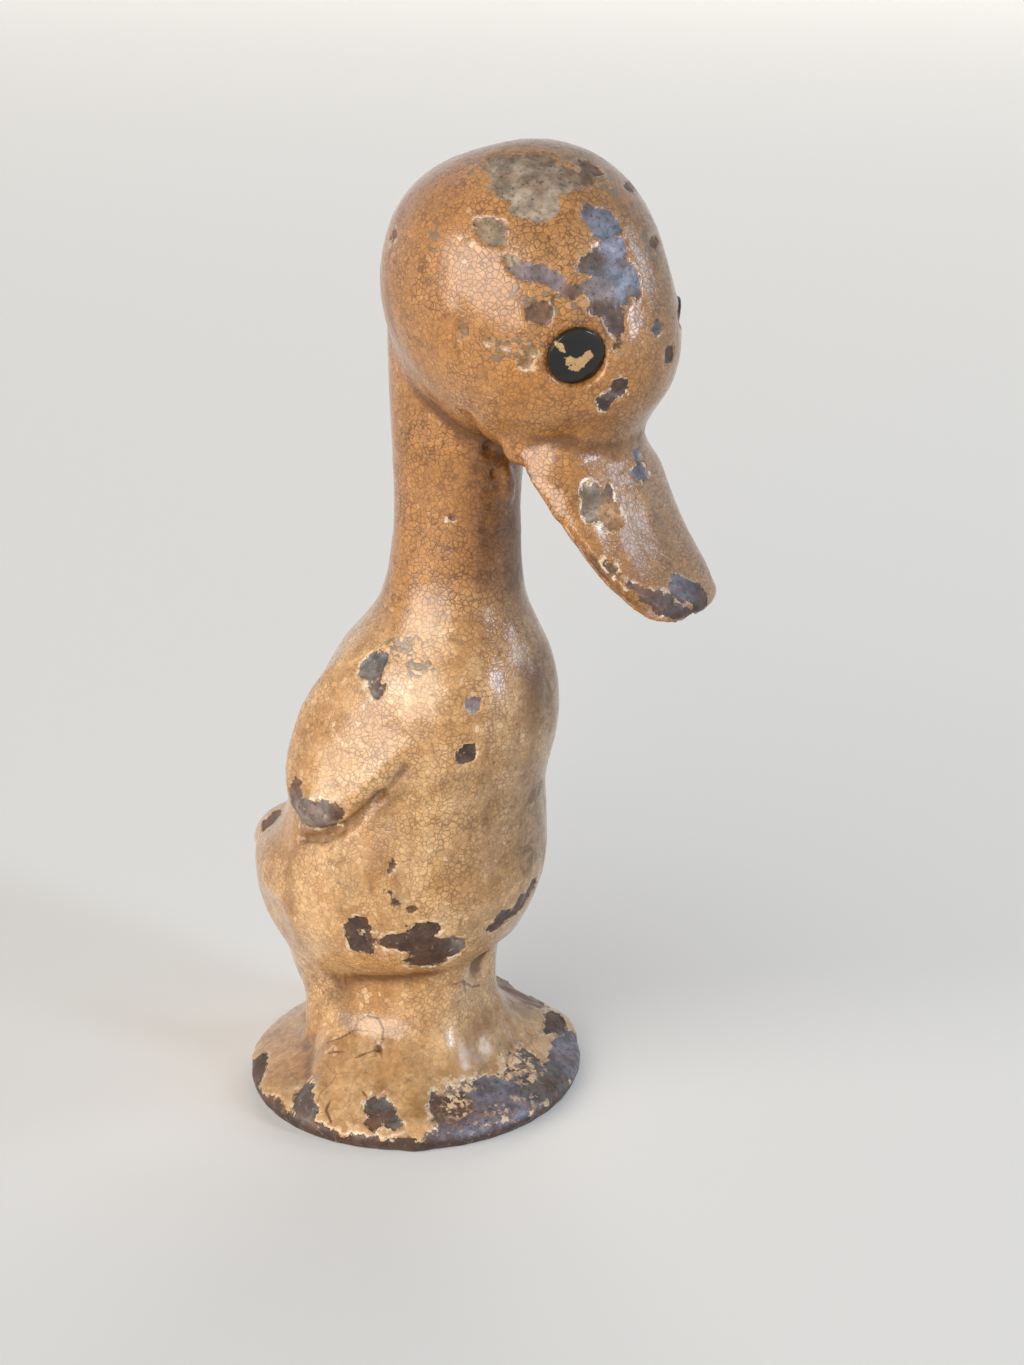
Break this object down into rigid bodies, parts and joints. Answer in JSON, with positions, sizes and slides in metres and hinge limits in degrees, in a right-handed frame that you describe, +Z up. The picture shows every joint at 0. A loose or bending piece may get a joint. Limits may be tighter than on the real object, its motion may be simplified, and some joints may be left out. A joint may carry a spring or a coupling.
{
  "type": "duck paperweight",
  "caption": "Upright cast iron duckling paperweight with a bowed round head, broad drooping bill, stub wings and an oval webbed foot pad, in riveted half shells under old crackled cream paint.",
  "frame": {"origin": "under the middle of the whole figure's outline, on the plane that the foot pad stands on", "axes": "+Z up; the bill points towards -Y and the duck's right side is -X"},
  "size_m": [0.043, 0.0592, 0.1149],
  "materials": {
    "right_casting": "yellowed cream enamel, crackled, semi-gloss, chipped to dark iron",
    "left_casting": "yellowed cream enamel, crackled, semi-gloss, chipped to dark iron",
    "right_eye_enamel": "glossy black enamel with a tan chip",
    "left_eye_enamel": "glossy black enamel",
    "leg_rivet_iron": "soft iron, ends filed flush and painted over",
    "body_rivet_iron": "soft iron, ends filed flush and painted over"
  },
  "bodies": {
    "root": {"right_half_casting": "right_casting", "left_half_casting": "left_casting", "right_eye": "right_eye_enamel", "left_eye": "left_eye_enamel", "leg_rivet": "leg_rivet_iron", "body_rivet": "body_rivet_iron"}
  },
  "joints": []
}
